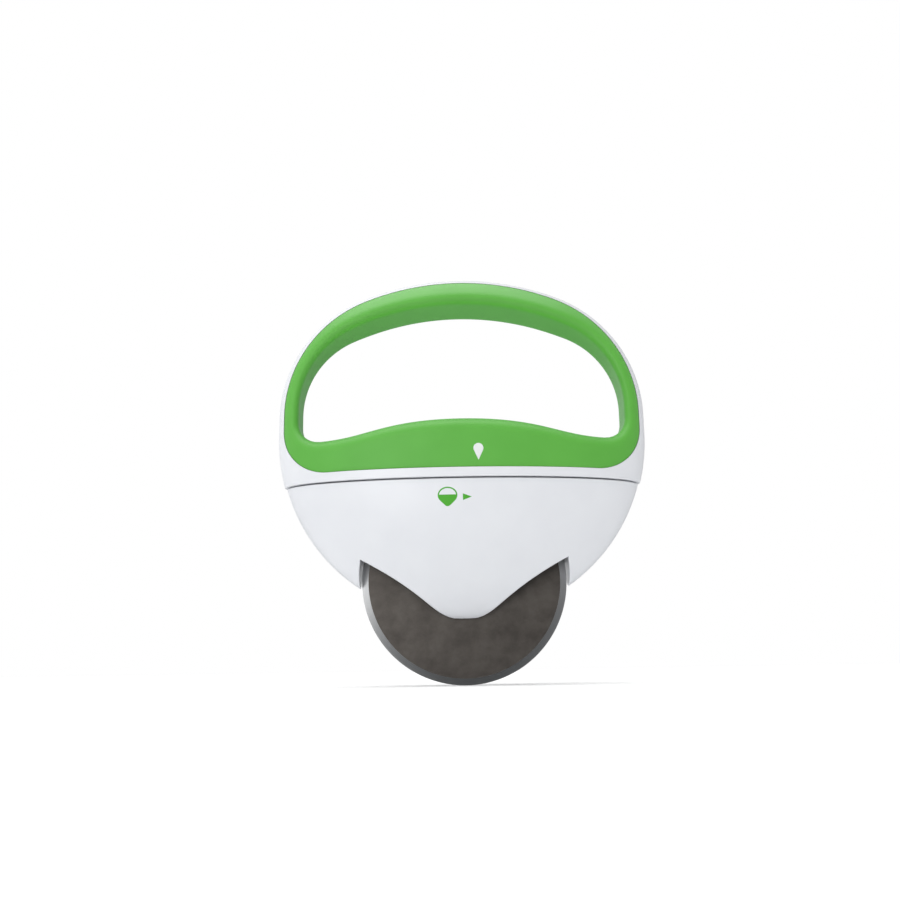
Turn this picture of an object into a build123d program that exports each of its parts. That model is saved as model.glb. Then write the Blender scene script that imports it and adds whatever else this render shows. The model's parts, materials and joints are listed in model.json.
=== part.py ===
from build123d import *
import math
import os

# Palm-grip rotary cutter: a lens-shaped body whose upper part is a D-shaped hand loop and whose lower part
# is a housing with a round blade. Origin at the blade's lowest point, +Z up, the marked face towards -Y,
# the blade's plane is XZ. All sizes in millimetres.

# ---- blade ----
blade_radius = 30.0
blade_thickness = 0.9
bevel_width = 1.9             # main ground bevel, from the flat face to the edge
edge_bevel_width = 0.55       # finer bevel at the very edge
edge_bevel_half = 0.14
edge_half = 0.03

# ---- lens-shaped body ----
body_radius = 54.8            # radius of the housing's round outline
body_half_depth = 16.5        # half the depth of the housing at its middle
blade_over_seam = 1.9         # how far the blade's top stands above the seam, inside the handle
seam_drop = 15.3              # flat seam between handle and housing, below that centre
seam_gap = 0.4
handle_overhang = 0.5         # the handle stands this much proud of the housing
shell_wall = 2.0
housing_rounding = 0.28       # outer edges at the seam and along the blade's cut-away
handle_rounding = 0.25        # outer edge at the seam

# ---- hand loop, heights from the centre of the round outline ----
loop_spring = 6.0             # where the straight sides end
loop_top = 49.8
loop_shoulder = 41.0          # outline radius at the shoulders
rim_width = 20.0              # how far the arched rim's section fares inwards
hole_half_width = 48.8
hole_spring = 8.0
hole_top = 39.9
hole_shoulder = 27.2
hole_corner = 7.0             # radius of the lower corners
floor_crest = 2.2             # the palm hump of the hole's floor
floor_pocket = -2.8           # the floor's ends, for the outer fingers
crest_hold = 24.0             # how far the crest and the pockets keep their height
pocket_hold = 14.0
hole_rounding = 2.5
rim_strip = 2.1               # width of the hard strip outside the soft grip, seen from the front
grip_bottom = -12.7           # lower edge of the soft grip
grip_corner = 14.0
grip_skin = 1.8

# ---- slide mount between handle and housing ----
slide_travel = 9.0
slide_clearance = 0.3
deck_thickness = 2.2
deck_lip = 0.8                # how deep the deck's tongue sits in the groove of the housing walls
deck_lip_step = 0.7           # the tongue is this much thinner than the deck, above and below
plate_half_length = 43.0
hook_x = 32.0
hook_neck = 4.0
hook_head_length = 5.0
hook_head_width = 9.6
hook_head_thickness = 1.8
blade_side_room = 0.9         # on each side of the blade, in the deck and the handle's plate
blade_end_room = 0.5          # past each end of the blade's chord, in the handle's plate

# ---- housing inside ----
well_clearance = 0.4          # round the blade's edge
well_wall = 1.8
well_wall_rise = 10.0         # the flanks are closed towards the blade up to here, above the axle
blade_slot_half = 1.35        # half the slot in which the blade turns
tip_setback = 0.1             # tip of the tongue inside the round outline
tip_spread = 9.8              # how far its rounded tip runs before the edge rises
tongue_end_angle = 11.8       # where the tongue's edge meets the blade well, seen from the axle
tongue_end_pull = 26.0
tongue_end_slope = 27.0

# ---- axle and hub ----
axle_radius = 2.5
axle_fit = 0.02
axle_end_wall = 1.4
axle_boss_radius = 5.0
running_clearance = 0.05
bush_radius = 3.5
hub_radius = 7.5
hub_thickness = 1.6
hub_room = 0.5                # round the hub, in the housing
hub_play = 0.15
washer_thickness = 0.5
washer_radius = 3.9
rivet_count = 3
rivet_circle = 5.4
rivet_radius = 0.8
rivet_head_radius = 1.2
rivet_head_height = 0.3

# ---- screws ----
screw_radius = 1.1
screw_head_radius = 2.0
screw_head_height = 1.3
screw_head_room = 0.2
screw_sink = 2.4              # depth of the head's seat below the outer surface
screw_recess_depth = 0.8
screw_recess_length = 2.2
screw_recess_width = 0.5
screw_length = 9.0
boss_radius = 2.8
boss_gap = 0.4                # between the lower screw bosses and the blade well's wall
low_screw_angle = 23.0        # lower housing screws, seen from the axle
rim_screw_angle = 28.3        # upper housing screws, below the horizontal through the centre
rim_screw_inset = 4.4
handle_screw_inset = 5.6
handle_screw_drop = 12.6
rail_screw_length = 7.5
rail_screws_at = [(37.0, 0.0), (-37.0, 0.0), (20.0, 7.0), (-20.0, 7.0)]

# ---- detent ----
spring_thickness = 0.3
spring_width = 4.0
spring_length = 26.0
spring_y = -7.5
spring_root_x = -13.0
spring_recess = 0.4           # spring strip above the handle's flat underside
spring_flex_room = 1.4
spring_side_room = 0.4
bump_offset = 19.0            # from the spring's root to its bump
bump_radius = 1.2
bump_room = 0.3
detent_rivet_radius = 0.9
detent_rivet_head_radius = 1.5
detent_rivet_head_height = 0.3
detent_rivet_cover = 0.4      # left over its end, in the handle's plate
detent_rivet_inset = 3.0
spring_seat_length = 6.0

# ---- marks, heights from the centre of the round outline ----
mark_depth = 0.4
pointer_x = 4.5
pointer_radius = 1.43
pointer_top = -5.9
pointer_tip = -10.75
icon_top = -18.2
icon_half_width = 2.8
icon_half_height = 2.35       # of its upper, oval part
icon_height = 5.5
icon_line = 0.4
icon_tip_radius = 1.1
icon_fill = 2.2               # filled below this depth from its top
arrow_x = -0.15
arrow_z = -21.1
arrow_length = 2.55
arrow_half_height = 0.95

axle_z = blade_radius
centre_over_axle = blade_radius + seam_drop - blade_over_seam
centre_z = axle_z + centre_over_axle
seam_z = centre_z - seam_drop
deck_top = seam_z - seam_gap
deck_bottom = deck_top - deck_thickness
plate_top = centre_z + grip_bottom
handle_radius = body_radius + handle_overhang
handle_half_depth = body_half_depth + handle_overhang
well_radius = blade_radius + well_clearance
blade_gap_half = blade_thickness / 2 + blade_side_room
hub_face = blade_thickness / 2 + hub_thickness
boss_face = hub_face + hub_play + washer_thickness
bump_x = spring_root_x + bump_offset
surface_tolerance = 0.02
far = 3 * handle_radius       # longer than anything here, for cuts that go right through
front_view = Plane(origin=(0, 0, centre_z), x_dir=(1, 0, 0), z_dir=(0, -1, 0))
axle_view = Plane(origin=(0, 0, axle_z), x_dir=(1, 0, 0), z_dir=(0, -1, 0))


def block(low, high):
    size = [high[i] - low[i] for i in range(3)]
    middle = [(high[i] + low[i]) / 2 for i in range(3)]
    return Pos(*middle) * Box(*size)


def both_ways(face):
    return extrude(face, amount=far, both=True)


def along_y(x, z, radius, low, high):
    return Pos(x, (low + high) / 2, z) * Rot(90, 0, 0) * Cylinder(radius, high - low)


def along_z(x, y, radius, low, high):
    return Pos(x, y, (low + high) / 2) * Cylinder(radius, high - low)


def lens(radius, half_depth):
    """Solid of revolution about Y with an elliptic section, centred on the round outline."""
    half_section = Ellipse(radius, half_depth) & Pos(far / 2, 0) * Rectangle(far, far)
    return Pos(0, 0, centre_z) * revolve(half_section, Axis.Y)


def crown_radius(half_width, rise, shoulder):
    """Radius of the crown arc that is tangent to both shoulder arcs and peaks at the rise."""
    return ((half_width - shoulder) ** 2 + rise ** 2 - shoulder ** 2) / (2 * (rise - shoulder))


def crown_start(half_width, rise, shoulder):
    """Angle above the horizontal at which the shoulder arc meets the crown arc."""
    return math.degrees(math.atan2(crown_radius(half_width, rise, shoulder) - rise, half_width - shoulder))


def arch_edges(half_width, spring, top, shoulder):
    """Three tangent arcs, right to left, from one straight side to the other."""
    rise = top - spring
    crown = crown_radius(half_width, rise, shoulder)
    start = crown_start(half_width, rise, shoulder)
    right = CenterArc((half_width - shoulder, spring), shoulder, 0, start)
    over = CenterArc((0, top - crown), crown, start, 180 - 2 * start)
    left = CenterArc((shoulder - half_width, spring), shoulder, 180 - start, start)
    return [right, over, left]


def handle_envelope(inset):
    """Outer shape of the handle, before its hole: half lens, straight band and arched rim."""
    radius = handle_radius - inset
    half_depth = handle_half_depth - inset
    lower = lens(radius, half_depth) & block((-far, -far, seam_z), (far, far, centre_z))
    band = Pos(0, 0, centre_z) * extrude(Ellipse(radius, half_depth), loop_spring)
    return lower + band + arched_rim(radius, half_depth, loop_top - inset, loop_shoulder - inset)


def arched_rim(radius, half_depth, top, shoulder):
    """The lens's rim carried over the two shoulder arcs and the crown arc."""
    rise = top - loop_spring
    crown = crown_radius(radius, rise, shoulder)
    start = crown_start(radius, rise, shoulder)
    nose = Pos(-radius, 0) * Ellipse(radius, half_depth) & Pos(-rim_width / 2, 0) * Rectangle(rim_width, far)
    spring_z = centre_z + loop_spring
    shoulder_axis = Axis((radius - shoulder, 0, spring_z), (0, -1, 0))
    right = revolve(Pos(radius, 0, spring_z) * nose, shoulder_axis, start)
    crown_axis = Axis((0, 0, centre_z + top - crown), (0, -1, 0))
    crown_nose = (Pos(crown, 0, centre_z + top - crown) * nose).rotate(crown_axis, start)
    over = revolve(crown_nose, crown_axis, 180 - 2 * start)
    return right + over + right.mirror(Plane.YZ)


def hole_face(offset):
    """Finger hole seen from the front, grown by the offset."""
    half_width = hole_half_width + offset
    corner = hole_corner + offset
    floor = floor_pocket - offset
    crest = floor_crest - offset
    inner = half_width - corner
    edges = arch_edges(half_width, hole_spring, hole_top + offset, hole_shoulder + offset)
    for side in (-1, 1):
        edges.append(Line((side * half_width, hole_spring), (side * half_width, floor + corner)))
        edges.append(CenterArc((side * inner, floor + corner), corner, 270 if side > 0 else 180, 90))
        pocket = (side * inner, floor)
        pocket_pull = (side * (inner - pocket_hold), floor)
        edges.append(Bezier(pocket, pocket_pull, (side * crest_hold, crest), (0, crest)))
    return front_view * make_face(edges)


def grip_face():
    """Area of the soft grip seen from the front, hole included."""
    half_width = handle_radius - rim_strip
    corner_z = grip_bottom + grip_corner
    inner = half_width - grip_corner
    edges = arch_edges(half_width, loop_spring, loop_top - rim_strip, loop_shoulder - rim_strip)
    for side in (-1, 1):
        edges.append(Line((side * half_width, loop_spring), (side * half_width, corner_z)))
        edges.append(CenterArc((side * inner, corner_z), grip_corner, 270 if side > 0 else 180, 90))
    edges.append(Line((-inner, grip_bottom), (inner, grip_bottom)))
    return front_view * make_face(edges)


def depth_at(radius, half_depth, x, z):
    """Half the depth of a lens at a point of its front view."""
    return half_depth * math.sqrt(1 - (x ** 2 + (z - centre_z) ** 2) / radius ** 2)


def lies_on_lens(edge, radius, half_depth):
    """Whether an edge follows the outer surface of a lens."""
    for share in (0.2, 0.5, 0.8):
        point = edge.position_at(share)
        height = point.Z - centre_z
        surface = half_depth * math.sqrt(max(0, 1 - (point.X ** 2 + height ** 2) / radius ** 2))
        if abs(abs(point.Y) - surface) > surface_tolerance:
            return False
    return True


def handle_body():
    """Whole handle as one shape, with its finger hole, rounded hole edges and rounded lower edge."""
    solid = handle_envelope(0) - both_ways(hole_face(0))
    outline = hole_face(0).faces()[0].outer_wire()
    rims = []
    for edge in solid.edges():
        middle = edge.position_at(0.5)
        runs_across = abs(edge.position_at(0).Y - edge.position_at(1).Y) > handle_half_depth / 2
        on_hole = outline.distance_to(Vector(middle.X, 0, middle.Z)) < 0.001
        if on_hole and not runs_across:
            rims.append(edge)
    solid = solid.fillet(hole_rounding, rims)
    lower = [edge for edge in solid.edges() if abs(edge.position_at(0.5).Z - seam_z) < surface_tolerance]
    return solid.fillet(handle_rounding, lower)


def grip_core_space():
    """Everything that the soft skin covers: skeleton of the loop and block under the floor."""
    return (handle_envelope(grip_skin) & both_ways(grip_face())) - both_ways(hole_face(grip_skin))


def front_mark(face, radius, half_depth):
    """Thin inlay, flush with the front of a lens."""
    prism = extrude(face, amount=far)
    return (prism & lens(radius, half_depth)) - lens(radius - mark_depth, half_depth - mark_depth)


def pointer_mark():
    """Drop-shaped pointer: round above, tip down."""
    middle = pointer_top - pointer_radius
    reach = middle - pointer_tip
    touch = math.acos(pointer_radius / reach)
    side = pointer_radius * math.sin(touch)
    low = middle - pointer_radius * math.cos(touch)
    taper = Polyline((pointer_x - side, low), (pointer_x, pointer_tip), (pointer_x + side, low), close=True)
    drop = Pos(pointer_x, middle) * Circle(pointer_radius) + make_face(taper)
    return front_mark(front_view * drop, handle_radius, handle_half_depth)


def cleaning_mark():
    """Picture of a loop over a filled blade guard, one slide travel to the left of the pointer."""
    x = pointer_x - slide_travel
    oval_z = icon_top - icon_half_height
    oval = Pos(x, oval_z) * Ellipse(icon_half_width, icon_half_height)
    tip = Pos(x, icon_top - icon_height + icon_tip_radius) * Circle(icon_tip_radius)
    outline = make_hull(oval.edges() + tip.edges())
    inside = Pos(x, oval_z) * Ellipse(icon_half_width - icon_line, icon_half_height - icon_line)
    above = Pos(x, icon_top - icon_fill + far / 2) * Rectangle(far, far)
    return front_mark(front_view * (outline - (inside & above)), body_radius, body_half_depth)


def arrow_mark():
    """Triangle that points the way the housing slides."""
    low = (arrow_x, arrow_z - arrow_half_height)
    high = (arrow_x, arrow_z + arrow_half_height)
    triangle = Polyline(low, (arrow_x + arrow_length, arrow_z), high, close=True)
    return front_mark(front_view * make_face(triangle), body_radius, body_half_depth)


def screw(length):
    """Pan-head screw along Z, seat of its head at the origin, shank downwards, cross recess on top."""
    head = Pos(0, 0, screw_head_height / 2) * Cylinder(screw_head_radius, screw_head_height)
    shank = Pos(0, 0, -length / 2) * Cylinder(screw_radius, length)
    recess_z = screw_head_height - screw_recess_depth / 2
    slot = Box(screw_recess_length, screw_recess_width, screw_recess_depth)
    return head + shank - Pos(0, 0, recess_z) * (slot + Rot(0, 0, 90) * slot)


def rear_screw(x, z, seat):
    """Screw driven in from the rear face, towards -Y."""
    return Pos(x, seat, z) * Rot(-90, 0, 0) * screw(screw_length)


def rear_screw_hole(x, z, seat):
    hole = along_y(x, z, screw_radius, seat - screw_length, seat)
    return hole + along_y(x, z, screw_head_radius + screw_head_room, seat, far)


def handle_screw_places():
    """Point and seat of each handle screw, in the hard corners below the soft grip."""
    z = centre_z - handle_screw_drop
    x = math.sqrt((handle_radius - handle_screw_inset) ** 2 - handle_screw_drop ** 2)
    seat = depth_at(handle_radius, handle_half_depth, x, z) - screw_sink
    return [(side * x, z, seat) for side in (-1, 1)]


def housing_screw_places():
    """Point and seat of each housing screw: a lower pair beside the blade well, an upper pair at the rim."""
    low_distance = well_radius + well_wall + boss_gap + boss_radius
    low_x = low_distance * math.cos(math.radians(low_screw_angle))
    low_z = axle_z + low_distance * math.sin(math.radians(low_screw_angle))
    rim_distance = body_radius - rim_screw_inset
    rim_x = rim_distance * math.cos(math.radians(rim_screw_angle))
    rim_z = centre_z - rim_distance * math.sin(math.radians(rim_screw_angle))
    places = []
    for x, z in ((low_x, low_z), (rim_x, rim_z)):
        seat = depth_at(body_radius, body_half_depth, x, z) - screw_sink
        places += [(side * x, z, seat) for side in (-1, 1)]
    return places


def rail_plate_space():
    """Bottom closure of the handle, between the walls of the hard band."""
    inside = lens(handle_radius - shell_wall, handle_half_depth - shell_wall)
    return inside & block((-plate_half_length, -far, seam_z), (plate_half_length, far, plate_top))


def hook_neck_space(side):
    """Square neck of a slide hook, from the top of the plate down through the deck."""
    x = side * hook_x
    half = hook_neck / 2
    low = deck_bottom - slide_clearance
    return block((x - half, -half, low), (x + half, half, plate_top))


def slide_hooks():
    """T-shaped studs that carry the housing."""
    hooks = []
    top = deck_bottom - slide_clearance
    for side in (-1, 1):
        head = Box(hook_head_length, hook_head_width, hook_head_thickness)
        hooks.append(hook_neck_space(side) + Pos(side * hook_x, 0, top - hook_head_thickness / 2) * head)
    return Compound(hooks)


def rail_screws():
    """Screws from below through the plate into the grip's core, heads sunk in the plate."""
    seat = seam_z + screw_head_height + screw_head_room
    return Compound([Pos(x, y, seat) * Rot(180, 0, 0) * screw(rail_screw_length) for x, y in rail_screws_at])


def rail_screw_holes():
    seat = seam_z + screw_head_height + screw_head_room
    holes = []
    for x, y in rail_screws_at:
        holes.append(along_z(x, y, screw_radius, seat, seat + rail_screw_length))
        holes.append(along_z(x, y, screw_head_radius + screw_head_room, seam_z - 1, seat))
    return holes


def spring_strip():
    """Leaf spring with one pressed bump; its root is riveted to the plate."""
    low = seam_z + spring_recess
    high = low + spring_thickness
    half = spring_width / 2
    strip = block((spring_root_x, spring_y - half, low), (spring_root_x + spring_length, spring_y + half, high))
    bump = along_y(bump_x, seam_z, bump_radius, spring_y - half, spring_y + half)
    return strip + (bump & block((-far, -far, 0), (far, far, high)))


def spring_pocket():
    """Room for the spring to flex upwards, shallower over its seat."""
    high = seam_z + spring_recess + spring_thickness
    half = spring_width / 2 + spring_side_room
    low_x = spring_root_x - spring_side_room
    high_x = spring_root_x + spring_length + spring_side_room
    shallow = block((low_x, spring_y - half, seam_z - 1), (high_x, spring_y + half, high))
    flex_x = spring_root_x + spring_seat_length
    deep = block((flex_x, spring_y - half, seam_z - 1), (high_x, spring_y + half, high + spring_flex_room))
    return shallow + deep


def detent_rivet():
    x = spring_root_x + detent_rivet_inset
    low = seam_z + spring_recess
    head = along_z(x, spring_y, detent_rivet_head_radius, low - detent_rivet_head_height, low)
    return head + along_z(x, spring_y, detent_rivet_radius, low, plate_top - detent_rivet_cover)


def rail_plate():
    """Closure plate with a slot for the blade's top, hook sockets, screw holes and the spring's pocket."""
    slot_half = math.sqrt(blade_radius ** 2 - (seam_z - axle_z) ** 2) + slide_travel + blade_end_room
    plate = rail_plate_space()
    plate -= block((-slot_half, -blade_gap_half, 0), (slot_half, blade_gap_half, far))
    for side in (-1, 1):
        plate -= hook_neck_space(side)
    for hole in rail_screw_holes():
        plate -= hole
    return plate - spring_pocket() - detent_rivet()


def handle_parts():
    whole = handle_body()
    core_space = grip_core_space()
    soft = (whole & both_ways(grip_face())) - core_space
    hard = whole - both_ways(grip_face()) - rail_plate_space()
    places = handle_screw_places()
    for x, z, seat in places:
        hard -= rear_screw_hole(x, z, seat)
    core = core_space
    for hole in rail_screw_holes():
        core -= hole
    pointer = pointer_mark()
    return {
        "handle_shell_front": hard & block((-far, -far, 0), (far, 0, far)),
        "handle_shell_rear": hard & block((-far, 0, 0), (far, far, far)),
        "handle_screws": Compound([rear_screw(x, z, seat) for x, z, seat in places]),
        "grip_ring": soft - pointer,
        "grip_core": core,
        "pointer_mark": pointer,
        "rail_plate": rail_plate(),
        "rail_screws": rail_screws(),
        "slide_hooks": slide_hooks(),
        "detent_spring": spring_strip() - detent_rivet(),
        "detent_rivet": detent_rivet(),
    }


def housing_deck():
    """Top plate of the housing: keyholes for the hooks, a slot for the blade and two detent notches."""
    inside = lens(body_radius - shell_wall, body_half_depth - shell_wall)
    deck = inside & block((-far, -far, deck_bottom), (far, far, deck_top))
    lip = lens(body_radius - shell_wall + deck_lip, body_half_depth - shell_wall + deck_lip)
    deck += lip & block((-far, -far, deck_bottom + deck_lip_step), (far, far, deck_top - deck_lip_step))
    return deck


def deck_cuts():
    """Openings of the deck."""
    slot_half = math.sqrt(blade_radius ** 2 - (deck_bottom - axle_z) ** 2) + well_clearance
    cuts = [block((-slot_half, -blade_gap_half, 0), (slot_half, blade_gap_half, far))]
    neck_half = hook_neck / 2 + slide_clearance
    key_half = hook_head_length / 2 + slide_clearance
    key_half_width = hook_head_width / 2 + slide_clearance
    for side in (-1, 1):
        x = side * hook_x
        cuts.append(block((x - slide_travel, -neck_half, 0), (x + neck_half, neck_half, far)))
        key_x = x - slide_travel
        cuts.append(block((key_x - key_half, -key_half_width, 0), (key_x + key_half, key_half_width, far)))
    notch_half = spring_width / 2 + slide_clearance
    for x in (bump_x, bump_x - slide_travel):
        cuts.append(along_y(x, seam_z, bump_radius + bump_room, spring_y - notch_half, spring_y + notch_half))
    return cuts


def tongue_cut():
    """Cut-away that bares the blade: inside the blade well and below the tongue's bell-shaped edge."""
    tip = (0, centre_over_axle - body_radius + tip_setback)
    end_distance = well_radius + well_wall
    angle = math.radians(tongue_end_angle)
    end = (end_distance * math.cos(angle), end_distance * math.sin(angle))
    slope = math.radians(tongue_end_slope)
    pull = (end[0] - tongue_end_pull * math.cos(slope), end[1] - tongue_end_pull * math.sin(slope))
    edges = []
    for side in (-1, 1):
        end_point = (side * end[0], end[1])
        low_point = (side * end[0], -far)
        edges.append(Bezier(tip, (side * tip_spread, tip[1]), (side * pull[0], pull[1]), end_point))
        edges.append(Line(end_point, low_point))
    edges.append(Line((-end[0], -far), (end[0], -far)))
    return both_ways(axle_view * make_face(edges)) & along_y(0, axle_z, well_radius, -far, far)


def housing_walls():
    """Walls of both housing halves in one piece, with the well wall, the bosses and rounded outer edges."""
    envelope = lens(body_radius, body_half_depth) & block((-far, -far, 0), (far, far, deck_top))
    walls = envelope - lens(body_radius - shell_wall, body_half_depth - shell_wall)
    inside = along_y(0, axle_z, well_radius + well_wall, -far, far) - along_y(0, axle_z, well_radius, -far, far)
    inside &= block((-far, -far, 0), (far, far, axle_z + well_wall_rise))
    for side in (-1, 1):
        near, away = sorted((side * boss_face, side * far))
        inside += along_y(0, axle_z, axle_boss_radius, near, away)
    for x, z, seat in housing_screw_places():
        inside += along_y(x, z, boss_radius, -far, far)
    walls += inside & envelope
    walls -= tongue_cut()
    walls -= along_y(0, axle_z, well_radius, -blade_slot_half, blade_slot_half)
    rims = []
    for edge in walls.edges():
        middle = edge.position_at(0.5)
        at_seam = abs(middle.Z - deck_top) < surface_tolerance
        at_blade = math.hypot(middle.X, middle.Z - axle_z) < well_radius + surface_tolerance
        if (at_seam or at_blade) and lies_on_lens(edge, body_radius, body_half_depth):
            rims.append(edge)
    return walls.fillet(housing_rounding, rims)


def axle_half_length():
    return depth_at(body_radius, body_half_depth, 0, axle_z) - axle_end_wall


def housing_cuts():
    """Rooms and holes taken out of the housing's walls."""
    cuts = [
        along_y(0, axle_z, hub_radius + hub_room, -boss_face, boss_face),
        along_y(0, axle_z, axle_radius + axle_fit, -axle_half_length(), axle_half_length()),
        housing_deck(),
    ]
    for x, z, seat in housing_screw_places():
        cuts.append(rear_screw_hole(x, z, seat))
    return cuts


def housing_parts():
    walls = housing_walls()
    for cut in housing_cuts():
        walls -= cut
    deck = housing_deck()
    for cut in deck_cuts():
        deck -= cut
    icon = cleaning_mark()
    arrow = arrow_mark()
    washer = Cylinder(washer_radius, washer_thickness) - Cylinder(axle_radius + running_clearance, far)
    washer_y = hub_face + hub_play + washer_thickness / 2
    washers = [Pos(0, side * washer_y, axle_z) * Rot(90, 0, 0) * washer for side in (-1, 1)]
    return {
        "housing_front": (walls & block((-far, -far, 0), (far, 0, far))) - icon - arrow,
        "housing_rear": walls & block((-far, 0, 0), (far, far, far)),
        "housing_deck": deck,
        "housing_screws": Compound([rear_screw(x, z, seat) for x, z, seat in housing_screw_places()]),
        "axle_pin": along_y(0, axle_z, axle_radius, -axle_half_length(), axle_half_length()),
        "thrust_washers": Compound(washers),
        "cleaning_mark": icon,
        "arrow_mark": arrow,
    }


def rivet_places():
    turns = [2 * math.pi * (i + 0.5) / rivet_count for i in range(rivet_count)]
    return [(rivet_circle * math.sin(turn), axle_z + rivet_circle * math.cos(turn)) for turn in turns]


def blade_disc():
    """Round blade with a main bevel and a finer edge bevel on both faces."""
    half = blade_thickness / 2
    bevel_start = blade_radius - bevel_width
    edge_start = blade_radius - edge_bevel_width
    upper = [(bush_radius, half), (bevel_start, half), (edge_start, edge_bevel_half), (blade_radius, edge_half)]
    lower = [(x, -y) for x, y in reversed(upper)]
    return Pos(0, 0, axle_z) * revolve(make_face(Polyline(upper + lower, close=True)), Axis.Y)


def hub_flange(side):
    """Flange that clamps the blade on one side."""
    near, away = sorted((side * blade_thickness / 2, side * hub_face))
    return along_y(0, axle_z, hub_radius, near, away) - along_y(0, axle_z, bush_radius, -far, far)


def hub_rivets():
    rivets = []
    head_face = hub_face + rivet_head_height
    for x, z in rivet_places():
        rivet = along_y(x, z, rivet_radius, -hub_face, hub_face)
        rivet += along_y(x, z, rivet_head_radius, hub_face, head_face)
        rivet += along_y(x, z, rivet_head_radius, -head_face, -hub_face)
        rivets.append(rivet)
    return Compound(rivets)


def blade_parts():
    disc = blade_disc()
    flanges = {"hub_front": hub_flange(-1), "hub_rear": hub_flange(1)}
    for x, z in rivet_places():
        shank = along_y(x, z, rivet_radius, -far, far)
        disc -= shank
        flanges = {name: flange - shank for name, flange in flanges.items()}
    bush = along_y(0, axle_z, bush_radius, -hub_face, hub_face)
    bush -= along_y(0, axle_z, axle_radius + running_clearance, -far, far)
    return {"blade_disc": disc, "hub_rivets": hub_rivets(), "hub_bush": bush, **flanges}


os.makedirs("parts", exist_ok=True)
for name, solid in {**handle_parts(), **housing_parts(), **blade_parts()}.items():
    export_step(solid, f"parts/{name}.step")
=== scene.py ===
# %% [markdown]
# # A palm-grip rotary cutter, dressed in Blender
# The cutter is a white lens of ABS with a D-shaped hand loop on top and a slide-off blade housing below.
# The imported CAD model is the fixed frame. New pieces read their outer sizes from its nodes' boxes and follow
# the same curves, so they land where the real ones sit. We load it first and note its outer box before
# anything is added.

# %% Load the frame
import json
import math

import bmesh
import bpy
from mathutils import Matrix, Vector
from mathutils.geometry import interpolate_bezier


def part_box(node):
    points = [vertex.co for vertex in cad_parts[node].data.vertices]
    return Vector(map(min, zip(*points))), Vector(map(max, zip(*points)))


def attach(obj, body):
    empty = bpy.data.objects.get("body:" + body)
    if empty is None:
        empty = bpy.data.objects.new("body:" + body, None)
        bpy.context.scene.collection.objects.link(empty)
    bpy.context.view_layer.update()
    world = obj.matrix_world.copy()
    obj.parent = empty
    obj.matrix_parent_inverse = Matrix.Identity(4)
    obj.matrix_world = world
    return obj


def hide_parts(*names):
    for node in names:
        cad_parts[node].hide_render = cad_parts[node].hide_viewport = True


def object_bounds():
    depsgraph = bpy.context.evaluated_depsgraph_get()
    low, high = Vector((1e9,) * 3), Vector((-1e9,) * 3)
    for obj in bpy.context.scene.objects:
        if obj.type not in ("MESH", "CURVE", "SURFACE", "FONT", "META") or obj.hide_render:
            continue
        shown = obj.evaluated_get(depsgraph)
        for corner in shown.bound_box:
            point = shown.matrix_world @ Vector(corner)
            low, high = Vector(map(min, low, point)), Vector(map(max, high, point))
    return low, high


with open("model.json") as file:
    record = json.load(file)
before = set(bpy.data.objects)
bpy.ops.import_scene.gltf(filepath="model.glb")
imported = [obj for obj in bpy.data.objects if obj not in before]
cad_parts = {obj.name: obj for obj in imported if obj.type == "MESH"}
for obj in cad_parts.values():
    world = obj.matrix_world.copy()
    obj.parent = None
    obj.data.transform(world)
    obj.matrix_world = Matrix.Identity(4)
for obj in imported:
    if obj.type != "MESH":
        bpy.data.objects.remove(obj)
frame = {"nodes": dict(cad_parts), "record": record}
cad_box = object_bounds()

MM = 0.001
low_corner, high_corner = (Vector(corner) for corner in cad_box)


def box_end(node, axis, side=1):
    """Where a node's box ends along an axis, in millimetres to a hundredth; side 0 is its low end."""
    return round(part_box(node)[side]["xyz".index(axis)] / MM, 2)


print("CAD box, mm:", [round(length / MM, 1) for length in high_corner - low_corner])

# %% [markdown]
# ## One helper for shader nodes
# A material is a small graph. One function adds any node, sets its properties and wires its inputs, so
# each finish below reads as a short list. Colours are written as the hex values that a colour picker
# shows, which are sRGB, and one function turns them into the linear numbers that Cycles works in.

# %% Shader helpers
def linear(hex_colour):
    """Turns an sRGB hex colour into linear RGBA."""
    channels = [int(hex_colour[i:i + 2], 16) / 255 for i in (1, 3, 5)]
    curve = [c / 12.92 if c <= 0.04045 else ((c + 0.055) / 1.055) ** 2.4 for c in channels]
    return (*curve, 1.0)


def add_node(tree, kind, settings=None, **inputs):
    """Adds a node with its settings. Inputs are values, or outputs of other nodes to link.

    A space in an input's name is written as an underscore, and _2 means the input with index 2.
    """
    made = tree.nodes.new(kind)
    for name, value in (settings or {}).items():
        setattr(made, name, value)
    for name, value in inputs.items():
        key = int(name[1:]) if name[0] == "_" else name.replace("_", " ")
        socket = made.inputs[key]
        if isinstance(value, bpy.types.NodeSocket):
            tree.links.new(value, socket)
        else:
            socket.default_value = value
    return made


def new_material(name):
    """Starts a material that is only a Principled shader.

    Returns the material, its tree, the shader and the Object coordinates.
    """
    material = bpy.data.materials.new(name)
    material.use_nodes = True
    tree = material.node_tree
    tree.nodes.clear()
    shader = add_node(tree, "ShaderNodeBsdfPrincipled")
    add_node(tree, "ShaderNodeOutputMaterial", Surface=shader.outputs["BSDF"])
    place = add_node(tree, "ShaderNodeTexCoord").outputs["Object"]
    return material, tree, shader, place


def two_tone(tree, factor, first, second):
    """A colour that drifts between two hex colours with a 0 to 1 factor."""
    mix = add_node(tree, "ShaderNodeMix", {"data_type": "RGBA"}, Factor=factor,
                   _6=linear(first), _7=linear(second))
    return mix.outputs[2]


def per_metre(size_mm):
    """Texture scale that gives features of about this size."""
    return 1 / (size_mm * MM)


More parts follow.
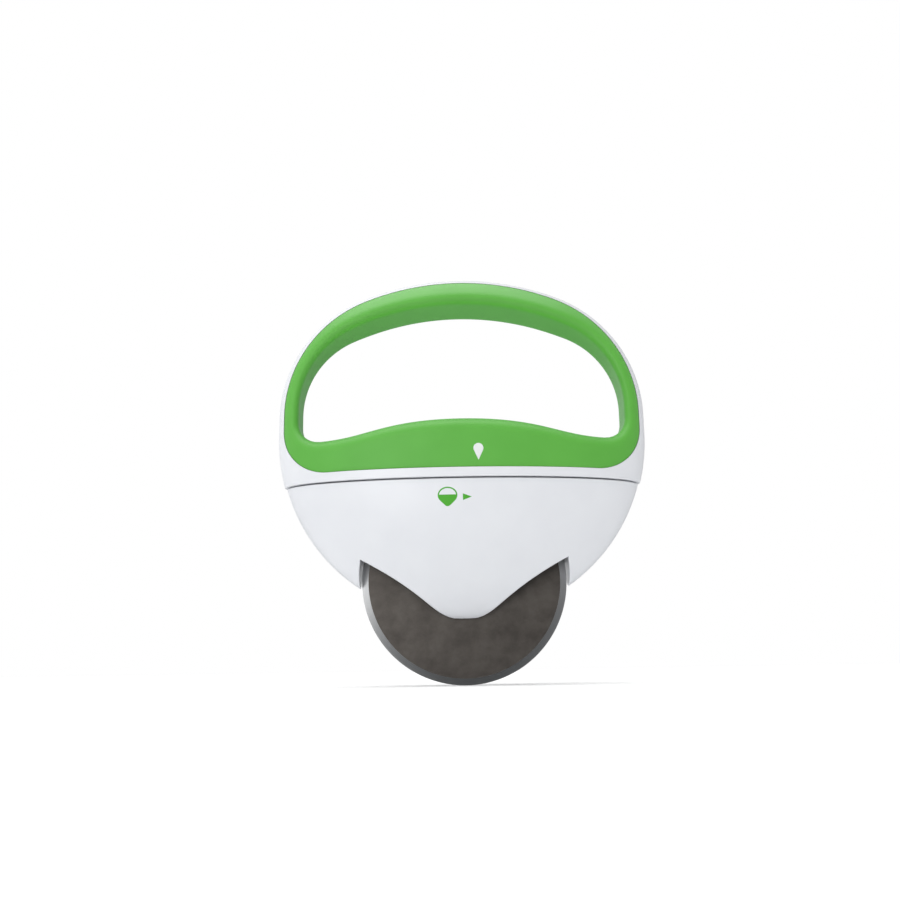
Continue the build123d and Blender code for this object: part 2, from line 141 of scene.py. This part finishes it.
# %% [markdown]
# ## White ABS
# The shells are ABS, injection-moulded in a satin-polished tool: a bright, slightly cool white with a soft
# gloss. A real moulding is never optically flat, so a faint flow ripple of a few millimetres and a fine
# orange peel break the highlights. The two halves meet in the blade's plane, where the tool leaves a fine
# parting line. All three are bump, and the colour drifts only a little with the flow.

# %% White ABS
def parting_groove(tree, place, width_mm):
    """Height that falls to 0 in a narrow band round the plane where two moulded halves meet."""
    across = add_node(tree, "ShaderNodeSeparateXYZ", Vector=place).outputs["Y"]
    distance = add_node(tree, "ShaderNodeMath", {"operation": "ABSOLUTE"}, _0=across)
    band = add_node(tree, "ShaderNodeMapRange", {"interpolation_type": "SMOOTHSTEP"},
                    Value=distance.outputs["Value"], From_Min=0.0, From_Max=width_mm / 2 * MM)
    return band.outputs["Result"]


def white_abs():
    material, tree, shader, place = new_material("ABS_moulded_white")
    flow = add_node(tree, "ShaderNodeTexNoise", Vector=place, Scale=per_metre(9), Detail=2.0)
    peel = add_node(tree, "ShaderNodeTexNoise", Vector=place, Scale=per_metre(0.7), Detail=3.0)
    tone = two_tone(tree, flow.outputs["Fac"], "#D9DBE0", "#DFE1E5")
    tree.links.new(tone, shader.inputs["Base Color"])
    ripple = add_node(tree, "ShaderNodeBump", Strength=0.12, Distance=0.05 * MM, Height=flow.outputs["Fac"])
    fine = add_node(tree, "ShaderNodeBump", Strength=0.2, Distance=0.01 * MM,
                    Height=peel.outputs["Fac"], Normal=ripple.outputs["Normal"])
    seam = add_node(tree, "ShaderNodeBump", Strength=1.0, Distance=0.12 * MM,
                    Height=parting_groove(tree, place, 0.35), Normal=fine.outputs["Normal"])
    tree.links.new(seam.outputs["Normal"], shader.inputs["Normal"])
    shader.inputs["Roughness"].default_value = 0.32
    shader.inputs["IOR"].default_value = 1.54
    return material


# %% [markdown]
# ## Green elastomer
# The grip is thermoplastic elastomer moulded over the core. The tool is spark-eroded to a fine matt, so it
# has a broad soft sheen rather than a highlight: pale and cool where the edge of the loop turns away. The
# grain of such a tool is about 0.1 mm; it is drawn at 0.35 mm so that it still shows.

# %% Green elastomer
def soft_green():
    material, tree, shader, place = new_material("TPE_overmould_green")
    cloud = add_node(tree, "ShaderNodeTexNoise", Vector=place, Scale=per_metre(14), Detail=2.0)
    grain = add_node(tree, "ShaderNodeTexNoise", Vector=place, Scale=per_metre(0.35), Detail=2.0)
    tone = two_tone(tree, cloud.outputs["Fac"], "#52A436", "#5CAF40")
    tree.links.new(tone, shader.inputs["Base Color"])
    bump = add_node(tree, "ShaderNodeBump", Strength=0.35, Distance=0.03 * MM, Height=grain.outputs["Fac"])
    tree.links.new(bump.outputs["Normal"], shader.inputs["Normal"])
    gloss = add_node(tree, "ShaderNodeMapRange", Value=grain.outputs["Fac"], To_Min=0.42, To_Max=0.52)
    tree.links.new(gloss.outputs["Result"], shader.inputs["Roughness"])
    shader.inputs["IOR"].default_value = 1.5
    shader.inputs["Sheen Weight"].default_value = 0.2
    shader.inputs["Sheen Roughness"].default_value = 0.35
    shader.inputs["Sheen Tint"].default_value = linear("#D8F2F0")
    return material


# %% [markdown]
# ## Coated blade and its ground bevel
# The wheel is steel sprayed with a dark, warm grey fluoropolymer: satin, clouded where the spray lay
# thicker. The bevel is ground after coating, so it is bare bright steel. Its grinding lines run round the
# wheel, so the pattern reads only the distance from the axle: noise on that one number makes rings
# 0.15 mm apart.

# %% Blade finishes
axle_z = (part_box("axle_pin")[0][2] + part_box("axle_pin")[1][2]) / 2


def coated_steel():
    material, tree, shader, place = new_material("PTFE_sprayed_steel")
    cloud = add_node(tree, "ShaderNodeTexNoise", Vector=place, Scale=per_metre(9),
                     Detail=5.0, Roughness=0.65)
    speck = add_node(tree, "ShaderNodeTexNoise", Vector=place, Scale=per_metre(0.5), Detail=2.0)
    patchy = add_node(tree, "ShaderNodeMapRange", Value=cloud.outputs["Fac"],
                      From_Min=0.35, From_Max=0.65)
    tone = two_tone(tree, patchy.outputs["Result"], "#4F4A46", "#645F5A")
    tree.links.new(tone, shader.inputs["Base Color"])
    bump = add_node(tree, "ShaderNodeBump", Strength=0.25, Distance=0.01 * MM, Height=speck.outputs["Fac"])
    tree.links.new(bump.outputs["Normal"], shader.inputs["Normal"])
    gloss = add_node(tree, "ShaderNodeMapRange", Value=cloud.outputs["Fac"], To_Min=0.3, To_Max=0.42)
    tree.links.new(gloss.outputs["Result"], shader.inputs["Roughness"])
    shader.inputs["Metallic"].default_value = 0.65
    return material


def ground_steel():
    material, tree, shader, place = new_material("steel_ground_bevel")
    centred = add_node(tree, "ShaderNodeMapping", Vector=place,
                       Location=(0, 0, -axle_z), Scale=(1, 0, 1))
    radius = add_node(tree, "ShaderNodeVectorMath", {"operation": "LENGTH"},
                      _0=centred.outputs["Vector"])
    rings = add_node(tree, "ShaderNodeTexNoise", {"noise_dimensions": "1D"}, W=radius.outputs["Value"],
                     Scale=per_metre(0.15), Detail=2.0)
    tree.links.new(two_tone(tree, rings.outputs["Fac"], "#A9AAAB", "#C6C7C8"), shader.inputs["Base Color"])
    bump = add_node(tree, "ShaderNodeBump", Strength=0.3, Distance=0.01 * MM, Height=rings.outputs["Fac"])
    tree.links.new(bump.outputs["Normal"], shader.inputs["Normal"])
    gloss = add_node(tree, "ShaderNodeMapRange", Value=rings.outputs["Fac"], To_Min=0.26, To_Max=0.4)
    tree.links.new(gloss.outputs["Result"], shader.inputs["Roughness"])
    shader.inputs["Metallic"].default_value = 1.0
    return material


# %% [markdown]
# ## Small metal and plastic parts
# The screws, hooks, spring and bush are bare metal. The grip core, deck and hub are plain mouldings, and the
# two printed colours lie on plastic. Each takes one of two finishes: metal whose gloss varies with fine tool
# marks, or plastic with a fine grain.

# %% Finishes for small parts
gloss_spread = 0.07


def plain_metal(name, first, second, roughness, line_mm):
    """Bare metal with fine tool marks of the given spacing."""
    material, tree, shader, place = new_material(name)
    lines = add_node(tree, "ShaderNodeTexNoise", Vector=place, Scale=per_metre(line_mm), Detail=3.0)
    tree.links.new(two_tone(tree, lines.outputs["Fac"], first, second), shader.inputs["Base Color"])
    gloss = add_node(tree, "ShaderNodeMapRange", Value=lines.outputs["Fac"],
                     To_Min=roughness - gloss_spread, To_Max=roughness + gloss_spread)
    tree.links.new(gloss.outputs["Result"], shader.inputs["Roughness"])
    shader.inputs["Metallic"].default_value = 1.0
    return material


def plain_plastic(name, first, second, roughness, grain_mm):
    """Moulded plastic with a fine grain of the given size."""
    material, tree, shader, place = new_material(name)
    grain = add_node(tree, "ShaderNodeTexNoise", Vector=place, Scale=per_metre(grain_mm), Detail=2.0)
    tree.links.new(two_tone(tree, grain.outputs["Fac"], first, second), shader.inputs["Base Color"])
    bump = add_node(tree, "ShaderNodeBump", Strength=0.2, Distance=0.02 * MM, Height=grain.outputs["Fac"])
    tree.links.new(bump.outputs["Normal"], shader.inputs["Normal"])
    shader.inputs["Roughness"].default_value = roughness
    shader.inputs["IOR"].default_value = 1.5
    return material


finishes = {
    "white_shell": white_abs(),
    "soft_grip": soft_green(),
    "blade_coating": coated_steel(),
    "grip_core": plain_plastic("nylon_glass_filled_dark", "#1F2022", "#2A2B2D", 0.55, 0.4),
    "inner_plastic": plain_plastic("acetal_light_grey", "#C9CACC", "#D2D3D4", 0.4, 0.5),
    "hub_plastic": plain_plastic("acetal_dark_grey", "#26272A", "#303134", 0.4, 0.5),
    "white_mark": plain_plastic("ink_printed_white", "#DADDDD", "#E2E5E4", 0.45, 0.2),
    "green_mark": plain_plastic("ink_printed_green", "#3FA018", "#49AA20", 0.45, 0.2),
    "bush_brass": plain_metal("brass_turned", "#C9A352", "#D6B466", 0.3, 0.2),
    "steel_part": plain_metal("steel_stainless_machined", "#B9BBBD", "#C8CACC", 0.3, 0.2),
    "spring_steel": plain_metal("steel_spring_rolled", "#9FA2A6", "#AEB1B4", 0.3, 0.3),
    "steel_screw": plain_metal("steel_zinc_plated", "#B4B7BC", "#C3C6CA", 0.32, 0.3),
}
slot_of = {entry["node"]: entry["material_slot"] for entry in frame["record"]["subparts"]}
for name, piece in frame["nodes"].items():
    piece.data.materials.clear()
    piece.data.materials.append(finishes[slot_of[name]])
print("finishes:", len(finishes))

# %% [markdown]
# ## Shape of the handle
# The soft grip follows the handle's outside, so it needs the same curves as the model: a round lens below,
# and above it the lens's rim carried over an arch of three arcs. One function says how far a point lies
# inside such an arch, another how thick the handle is there. The outlines of the grip's border and of the
# finger hole are level lines of such functions. Sizes are millimetres, and heights count from the middle of
# the lens. What a node's box can tell is read from it.

# %% Outlines and depth
body_centre_z = 73.4
rim_radius = box_end("handle_shell_front", "x")
half_depth = box_end("grip_ring", "y")
rim_spring, rim_shoulder = 6.0, 41.0
rim_top = round(box_end("handle_shell_front", "z") - body_centre_z, 2)
outer_arch = {"half": rim_radius, "spring": rim_spring, "top": rim_top, "shoulder": rim_shoulder}

border_strip = round(rim_radius - box_end("grip_ring", "x"), 2)
border_bottom = round(box_end("grip_ring", "z", 0) - body_centre_z, 2)
border_corner = 14.0
border_arch = {"half": rim_radius - border_strip, "spring": rim_spring, "top": rim_top - border_strip,
               "shoulder": rim_shoulder - border_strip}

hole_arch = {"half": 48.8, "spring": 8.0, "top": 39.9, "shoulder": 27.2}
hole_corner = 7.0
floor_crest, floor_pocket = 2.2, -2.8
crest_hold, pocket_hold = 24.0, 14.0
floor_points = 80
hole_inner = hole_arch["half"] - hole_corner
floor_curve = interpolate_bezier((0, floor_crest), (crest_hold, floor_crest),
                                 (hole_inner - pocket_hold, floor_pocket), (hole_inner, floor_pocket),
                                 floor_points)


def inside_arch(x, z, half, spring, top, shoulder):
    """How far a point lies inside straight sides and three tangent arcs; negative outside."""
    if z <= spring:
        return half - abs(x)
    rise = top - spring
    crown = ((half - shoulder) ** 2 + rise ** 2 - shoulder ** 2) / (2 * (rise - shoulder))
    split = math.atan2(crown - rise, half - shoulder)
    if math.atan2(z - top + crown, abs(x)) > split:
        return crown - math.hypot(x, z - top + crown)
    return shoulder - math.hypot(abs(x) - half + shoulder, z - spring)


def inside_border(x, z):
    """How far a point lies inside the grip's border."""
    past_side = abs(x) - border_arch["half"] + border_corner
    past_bottom = border_bottom + border_corner - z
    if past_side > 0 and past_bottom > 0:
        return border_corner - math.hypot(past_side, past_bottom)
    return min(inside_arch(x, z, **border_arch), z - border_bottom)


def inside_hole(x, z):
    """How far a point lies inside the finger hole, whose floor has a palm hump."""
    past_side = abs(x) - hole_inner
    past_bottom = floor_pocket + hole_corner - z
    if past_side > 0 and past_bottom > 0:
        return hole_corner - math.hypot(past_side, past_bottom)
    floor = floor_pocket
    for near, away in zip(floor_curve, floor_curve[1:]):
        if near[0] <= abs(x) <= away[0]:
            floor = near[1] + (away[1] - near[1]) * (abs(x) - near[0]) / (away[0] - near[0])
            break
    return min(inside_arch(x, z, **hole_arch), z - floor)


def depth_at(x, z):
    """Half the handle's thickness at a point of its front view."""
    if z < 0:
        share = math.hypot(x, z) / rim_radius
    else:
        share = 1 - inside_arch(x, z, **outer_arch) / rim_radius
    return half_depth * math.sqrt(max(0.0, 1 - share ** 2))


print("half depth at the palm hump, mm:", round(depth_at(0, floor_crest), 2))

# %% [markdown]
# ## Soft grip
# The real grip is one skin of elastomer, moulded round the loop and locked behind the white rim. Its
# section runs from a small rounded lip at the border, over the face, round a generous edge and through the
# hole. A ring of vertices is extruded along that section: every vertex stays on its own ray from a point in
# the hole, so each step only changes how far out it lies and how deep. The front half is then mirrored
# to the back, and Solidify gives the skin its thickness. It sits a hair below the shell, so the printed
# pointer and the white rim stand proud of it as inlays do.

# %% Soft grip
ray_centre_z = 14.0
ring_segments = 360
skin_thickness = 0.7
skin_sink = 0.05
lip_gap, lip_radius, lip_depth = 0.08, 0.3, 1.2
edge_rounding = 3.6
lip_steps, face_steps, edge_steps, wall_steps = 3, 10, 8, 5
farthest_reach = 80.0
halvings = 26
weld_distance = 0.001


def on_ray(angle, inside, level):
    """Point on a ray from the ring's centre where a shape function falls to a level, found by halving."""
    near, away = 0.0, farthest_reach
    for _ in range(halvings):
        reach = (near + away) / 2
        x, z = reach * math.cos(angle), ray_centre_z + reach * math.sin(angle)
        near, away = (reach, away) if inside(x, z) > level else (near, reach)
    return Vector((reach * math.cos(angle), ray_centre_z + reach * math.sin(angle)))


def section_point(angle, part, share):
    """Point of the grip's section, as x, depth and height, for a share of one of its four parts."""
    turn = share * math.pi / 2
    if part == "lip":
        spot = on_ray(angle, inside_border, lip_gap + lip_radius * (1 - math.cos(turn)))
        drop = lip_radius * (1 - math.sin(turn))
    elif part == "face":
        start = on_ray(angle, inside_border, lip_gap + lip_radius)
        spot = start.lerp(on_ray(angle, inside_hole, -edge_rounding), share)
        drop = 0.0
    elif part == "edge":
        spot = on_ray(angle, inside_hole, -edge_rounding * (1 - math.sin(turn)))
        drop = edge_rounding * (1 - math.cos(turn))
    else:
        spot = on_ray(angle, inside_hole, 0.0)
        drop = edge_rounding + share * (depth_at(*spot) - edge_rounding - skin_sink)
    return spot.x, depth_at(*spot) - drop - skin_sink, spot.y


grip_section = [("lip", 0.0)]
for part, steps in (("lip", lip_steps), ("face", face_steps), ("edge", edge_steps), ("wall", wall_steps)):
    grip_section += [(part, step / steps) for step in range(1, steps + 1)]

bm = bmesh.new()
bmesh.ops.create_circle(bm, segments=ring_segments, radius=1.0)
for vert in bm.verts:
    x, depth, z = section_point(math.atan2(vert.co.y, vert.co.x), "lip", 0.0)
    vert.co = (x, -(depth - lip_depth + lip_radius), z)
ring = list(bm.edges)
for part, share in grip_section:
    made = bmesh.ops.extrude_edge_only(bm, edges=ring)["geom"]
    ring = [item for item in made if isinstance(item, bmesh.types.BMEdge)]
    for vert in (item for item in made if isinstance(item, bmesh.types.BMVert)):
        angle = math.atan2(vert.co.z - ray_centre_z, vert.co.x)
        x, depth, z = section_point(angle, part, share)
        vert.co = (x, -depth, z)
bmesh.ops.mirror(bm, geom=bm.verts[:] + bm.edges[:] + bm.faces[:], axis="Y",
                   merge_dist=weld_distance)
bmesh.ops.translate(bm, verts=bm.verts, vec=(0, 0, body_centre_z))
bmesh.ops.scale(bm, verts=bm.verts, vec=(MM, MM, MM))
bmesh.ops.recalc_face_normals(bm, faces=bm.faces)


def finish_piece(name, bm, body, replaced, materials):
    """Turns a bmesh into a smooth-shaded piece that rides on a body and stands for a node."""
    mesh = bpy.data.meshes.new(name)
    bm.to_mesh(mesh)
    bm.free()
    mesh.polygons.foreach_set("use_smooth", [True] * len(mesh.polygons))
    for material in materials:
        mesh.materials.append(material)
    piece = bpy.data.objects.new(name, mesh)
    bpy.context.scene.collection.objects.link(piece)
    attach(piece, body)
    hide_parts(replaced)
    return piece


grip = finish_piece("soft_grip_skin", bm, "handle", "grip_ring", [finishes["soft_grip"]])
skin = grip.modifiers.new("skin", "SOLIDIFY")
skin.thickness = skin_thickness * MM
skin.offset = -1.0
print("grip faces:", len(grip.data.polygons))

# %% [markdown]
# ## Blade
# A rotary blade is a disc of sheet steel with a long main bevel and a finer one at the very edge, ground
# from both sides. Its half section is a few points, and a full spin about the axle turns them into the
# wheel. The flat faces keep the coating and the ground faces get the bare steel, chosen by how far out a
# face lies. An edge is shaded smooth only where the surface turns by less than a few degrees.

# %% Blade
blade_radius = box_end("blade_disc", "x")
blade_half = box_end("blade_disc", "y")
bore_radius = box_end("hub_bush", "x")
bevel_start, edge_start = 28.1, 29.45
edge_bevel_half, edge_half = 0.14, 0.03
blade_steps = 360
smooth_below = math.radians(4)
half_section = [(bore_radius, blade_half), (bevel_start, blade_half), (edge_start, edge_bevel_half),
                (blade_radius, edge_half)]
blade_section = half_section + [(radius, -depth) for radius, depth in reversed(half_section)]

bm = bmesh.new()
corners = [bm.verts.new((radius, depth, 0)) for radius, depth in blade_section]
outline = [bm.edges.new((corners[i - 1], corners[i])) for i in range(len(corners))]
bmesh.ops.spin(bm, geom=corners + outline, cent=(0, 0, 0), axis=(0, 1, 0), angle=2 * math.pi,
               steps=blade_steps, use_merge=True)
bmesh.ops.recalc_face_normals(bm, faces=bm.faces)
for face in bm.faces:
    middle = face.calc_center_median()
    face.material_index = int(math.hypot(middle.x, middle.z) > bevel_start)
for edge in bm.edges:
    edge.smooth = edge.calc_face_angle(0) < smooth_below
bmesh.ops.scale(bm, verts=bm.verts, vec=(MM, MM, MM))
bmesh.ops.translate(bm, verts=bm.verts, vec=(0, 0, axle_z))
blade = finish_piece("ground_blade", bm, "blade", "blade_disc",
                     [finishes["blade_coating"], ground_steel()])
print("blade faces:", len(blade.data.polygons))

# %% [markdown]
# ## Studio
# The tool is shown from the front and a little below, against white. The world is plain white to the camera.
# As a light it is dimmer, and it falls off from left to right across the front, so white plastic stays below
# the background and the lens gets its shading. The matt floor is white too, but it is painted dark grey for
# glossy
# rays: a painted dark reflection that stands in for the room below a hand-held tool, so the blade's lower
# bevel turns dark. A broad, high sun fills the floor to white, and one soft light at the left lifts that side.

# %% World
world_left, world_right = 0.84, 0.46
falloff_half = 0.2
seen_strength = 1.0
world = bpy.data.worlds.new("white_studio")
world.use_nodes = True
bpy.context.scene.world = world
sky = world.node_tree
sky.nodes.clear()
seen = add_node(sky, "ShaderNodeLightPath").outputs["Is Camera Ray"]
direction = add_node(sky, "ShaderNodeTexCoord").outputs["Generated"]
sideways = add_node(sky, "ShaderNodeSeparateXYZ", Vector=direction).outputs["X"]
falloff = add_node(sky, "ShaderNodeMapRange", Value=sideways, From_Min=-falloff_half,
                   From_Max=falloff_half, To_Min=world_left, To_Max=world_right)
strength = add_node(sky, "ShaderNodeMix", Factor=seen, _2=falloff.outputs["Result"], _3=seen_strength)
background = add_node(sky, "ShaderNodeBackground", Color=linear("#FFFFFF"),
                      Strength=strength.outputs[0])
add_node(sky, "ShaderNodeOutputWorld", Surface=background.outputs["Background"])
bpy.context.scene.view_settings.view_transform = "Standard"
print("world strength, left to right:", world_left, "to", world_right)


# %% Floor
def floor_painted_dark_to_glossy():
    """Matt white floor, painted dark grey for glossy rays only: a painted dark reflection standing in for
    shade below the tool.
    """
    material, tree, shader, place = new_material("floor_white_painted_dark_in_reflections")
    grain = add_node(tree, "ShaderNodeTexNoise", Vector=place, Scale=per_metre(4), Detail=2.0)
    tone = two_tone(tree, grain.outputs["Fac"], "#FAFAFA", "#FCFCFC")
    # Painted dark reflection: glossy rays get dark grey instead of white, so the blade's lower bevel and the
    # shells' undersides reflect painted shade.
    mirrored = add_node(tree, "ShaderNodeLightPath").outputs["Is Glossy Ray"]
    shown = add_node(tree, "ShaderNodeMix", {"data_type": "RGBA"}, Factor=mirrored,
                     _6=tone, _7=linear("#5C5E60"))
    tree.links.new(shown.outputs[2], shader.inputs["Base Color"])
    shader.inputs["Roughness"].default_value = 0.9
    return material


floor_half = 6.0
bm = bmesh.new()
bmesh.ops.create_grid(bm, x_segments=1, y_segments=1, size=floor_half)
floor_mesh = bpy.data.meshes.new("floor")
bm.to_mesh(floor_mesh)
bm.free()
floor = bpy.data.objects.new("floor", floor_mesh)
bpy.context.scene.collection.objects.link(floor)
floor.data.materials.append(floor_painted_dark_to_glossy())
print("floor side, m:", 2 * floor_half)


# %% Lights
lit_point = Vector((0, 0, 0.06))


def add_light(name, kind, place, power, **settings):
    """Adds a light that looks at the middle of the tool; places are metres and an area's power is watts."""
    light = bpy.data.lights.new(name, kind)
    light.energy = power
    for setting, value in settings.items():
        setattr(light, setting, value)
    lamp = bpy.data.objects.new(name, light)
    lamp.location = place
    lamp.rotation_euler = (lit_point - Vector(place)).to_track_quat("-Z", "Y").to_euler()
    bpy.context.scene.collection.objects.link(lamp)


add_light("sun_high", "SUN", (-0.1, -0.1, 1.4), 1.9, angle=math.radians(60))
add_light("key_left", "AREA", (-0.18, -0.45, 0.06), 0.36,
          shape="RECTANGLE", size=0.16, size_y=0.22)
print("lights:", len(bpy.data.lights))

# %% [markdown]
# ## Camera
# The camera looks up at the tool from about 12 degrees below its middle, close enough that the lens shape
# shows its perspective, and leans a little to one side.

# %% Camera
view_distance = 0.300
view_elevation = math.radians(-12.55)
view_roll = math.radians(0.9)
view_target = Vector((-0.0036, 0, 0.0693))
sensor_mm, lens_mm = 36.0, 39.7
nearest_seen = 0.01
camera_data = bpy.data.cameras.new("camera")
camera_data.sensor_width = sensor_mm
camera_data.lens = lens_mm
camera_data.clip_start = nearest_seen
camera = bpy.data.objects.new("camera", camera_data)
bpy.context.scene.collection.objects.link(camera)
backwards = Vector((0, -math.cos(view_elevation), math.sin(view_elevation)))
turn = Matrix.Rotation(math.pi / 2 - view_elevation, 4, "X") @ Matrix.Rotation(-view_roll, 4, "Z")
camera.matrix_world = Matrix.Translation(view_target + backwards * view_distance) @ turn
bpy.context.scene.camera = camera
print("camera distance, mm:", round(view_distance / MM))
